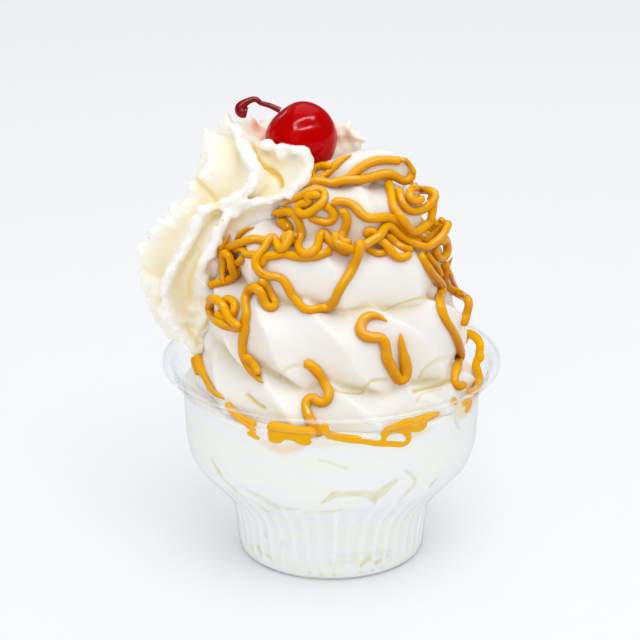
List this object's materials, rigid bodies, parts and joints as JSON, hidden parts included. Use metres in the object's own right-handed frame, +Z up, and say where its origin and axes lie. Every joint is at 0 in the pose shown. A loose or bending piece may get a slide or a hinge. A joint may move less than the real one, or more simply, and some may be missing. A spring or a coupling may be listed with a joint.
{
  "type": "ice cream sundae",
  "caption": "Soft serve sundae in a clear fluted plastic cup, with piped whipped cream, caramel sauce and a maraschino cherry on its stem.",
  "frame": {"origin": "centre of the cup's flat base", "axes": "+Z up out of the cup, -Y towards the viewer, the whipped cream leans to -X"},
  "size_m": [0.1, 0.0944, 0.133],
  "materials": {
    "clear_cup": "clear, thin, glossy",
    "soft_serve": "smooth, satin, slightly melted",
    "whipped_cream": "airy, ragged at its crests",
    "cherry": "wet, candied, translucent",
    "cherry_stem": "wet, dark red",
    "caramel_sauce": "glossy, thick"
  },
  "bodies": {
    "root": {"cup": "clear_cup", "soft_serve": "soft_serve", "whipped_cream": "whipped_cream", "cherry": "cherry", "cherry_stem": "cherry_stem"}
  },
  "joints": []
}
